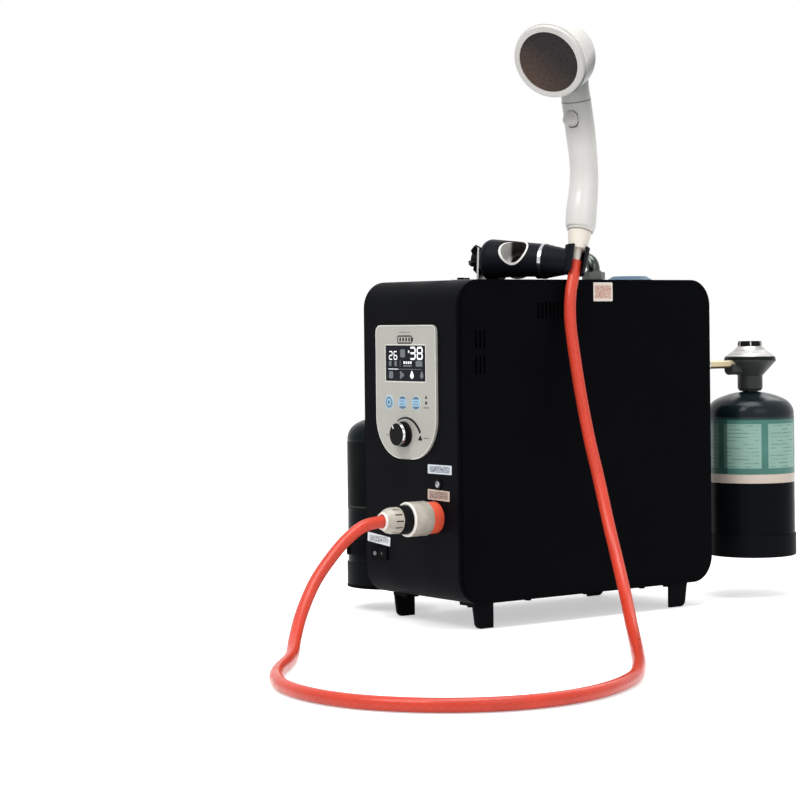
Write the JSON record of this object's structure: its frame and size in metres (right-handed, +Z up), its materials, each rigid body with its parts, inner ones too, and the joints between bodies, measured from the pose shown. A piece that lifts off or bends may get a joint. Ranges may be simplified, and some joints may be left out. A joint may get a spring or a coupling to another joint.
{
  "type": "portable heated shower",
  "caption": "Portable gas water heater box on plate feet with control face, handset in a swivel holder, hose on a click connector, gas regulator, and cylinders.",
  "frame": {"origin": "on the ground under the middle of the outline, without the hose", "axes": "+Z up, the control face looks along -Y, +X towards the handset side"},
  "size_m": [0.6707, 0.8658, 0.6311],
  "materials": {
    "case_steel": "satin",
    "dark_steel": "satin",
    "control_face": "satin",
    "display_glass": "gloss",
    "blue_button": "satin",
    "black_plastic": "matte",
    "chrome_trim": "polished",
    "bright_steel": "brushed",
    "circuit_board": "matte",
    "brass": "satin",
    "orange_plastic": "satin",
    "grey_plastic": "satin",
    "red_hose": "gloss",
    "holder_plastic": "satin",
    "white_plastic": "gloss",
    "cream_plastic": "satin",
    "spray_face": "satin",
    "blue_grey_metal": "satin",
    "silver_metal": "satin",
    "cylinder_steel": "gloss",
    "copper": "satin",
    "battery": "satin"
  },
  "bodies": {
    "heater_body": {"casing_wrap": "case_steel", "side_panel_right": "case_steel", "side_panel_left": "case_steel", "cylinder_tray": "case_steel", "feet": "dark_steel", "screws": "dark_steel", "cylinder_clip": "dark_steel", "control_plate": "control_face", "display": "display_glass", "switch_frame": "black_plastic", "connector_ring": "black_plastic", "regulator_body": "black_plastic", "gas_cylinder_foot": "black_plastic", "spare_cylinder_foot": "black_plastic", "spare_valve_cap": "black_plastic", "holder_ring": "chrome_trim", "potentiometer": "bright_steel", "dc_socket": "bright_steel", "holder_tab": "bright_steel", "pipe_clip": "bright_steel", "exhaust_duct": "bright_steel", "burner": "bright_steel", "fan_housing": "bright_steel", "inlet_elbow": "bright_steel", "inlet_nut": "bright_steel", "control_board": "circuit_board", "outlet_fitting": "brass", "gas_pipe": "brass", "gas_valve": "brass", "connector_body": "grey_plastic", "connector_nut": "grey_plastic", "hose": "red_hose", "holder_body": "holder_plastic", "holder_bush": "white_plastic", "exhaust_cap": "blue_grey_metal", "regulator_cap": "silver_metal", "gas_cylinder": "cylinder_steel", "spare_cylinder": "cylinder_steel", "heat_exchanger": "copper", "gas_tube": "copper", "inlet_pipe": "copper", "outlet_pipe": "copper", "battery_pack": "battery"},
    "knob_body": {"knob": "black_plastic", "knob_ring": "chrome_trim", "knob_shaft": "bright_steel"},
    "button_1_body": {"button_1": "blue_button"},
    "button_2_body": {"button_2": "blue_button"},
    "button_3_body": {"button_3": "blue_button"},
    "rocker_body": {"rocker": "black_plastic"},
    "collar_body": {"connector_collar": "orange_plastic"},
    "clamp_knob_body": {"holder_knob": "black_plastic"},
    "cup_body": {"holder_cup": "holder_plastic", "hose_nut": "cream_plastic", "handset_handle": "white_plastic", "handset_head": "white_plastic", "handset_ring": "white_plastic", "spray_plate": "spray_face"},
    "pause_button_body": {"handset_button": "white_plastic"},
    "fan_body": {"fan_wheel": "black_plastic"}
  },
  "joints": [
    {"name": "knob_turn", "type": "hinge", "parent": "heater_body", "child": "knob_body", "pos_m": [0.01452, -0.21735, 0.199], "axis": [0, -1, 0], "range_deg": [-135, 135]},
    {"name": "button_1_press", "type": "slide", "parent": "heater_body", "child": "button_1_body", "axis": [0, 1, 0], "range_m": [0, 0.0005], "stiffness_N_per_m": 1500, "springref_m": -0.0005},
    {"name": "button_2_press", "type": "slide", "parent": "heater_body", "child": "button_2_body", "axis": [0, 1, 0], "range_m": [0, 0.0005], "stiffness_N_per_m": 1500, "springref_m": -0.0005},
    {"name": "button_3_press", "type": "slide", "parent": "heater_body", "child": "button_3_body", "axis": [0, 1, 0], "range_m": [0, 0.0005], "stiffness_N_per_m": 1500, "springref_m": -0.0005},
    {"name": "rocker_tilt", "type": "hinge", "parent": "heater_body", "child": "rocker_body", "pos_m": [-0.03598, -0.21515, 0.071], "axis": [0, 0, 1], "range_deg": [-14, 0]},
    {"name": "collar_release", "type": "slide", "parent": "heater_body", "child": "collar_body", "axis": [0, -1, 0], "range_m": [0, 0.004], "stiffness_N_per_m": 2000, "springref_m": -0.001},
    {"name": "clamp_knob_turn", "type": "hinge", "parent": "heater_body", "child": "clamp_knob_body", "pos_m": [0.01113, -0.10914, 0.38188], "axis": [0.8822, 0.4691, -0.0419], "range_deg": [-360, 0]},
    {"name": "cup_swivel", "type": "hinge", "parent": "heater_body", "child": "cup_body", "pos_m": [0.10552, -0.05895, 0.3774], "axis": [0.8822, 0.4691, -0.0419], "range_deg": [-25, 25], "deforming": ["hose"]},
    {"name": "pause_press", "type": "slide", "parent": "cup_body", "child": "pause_button_body", "axis": [-0.3563, 0.8818, -0.309], "range_m": [0, 0.0025], "stiffness_N_per_m": 1500, "springref_m": -0.0005},
    {"name": "fan_spin", "type": "hinge", "parent": "heater_body", "child": "fan_body", "pos_m": [0.02102, 0.05465, 0.038], "axis": [0, 0, 1], "continuous": true}
  ]
}
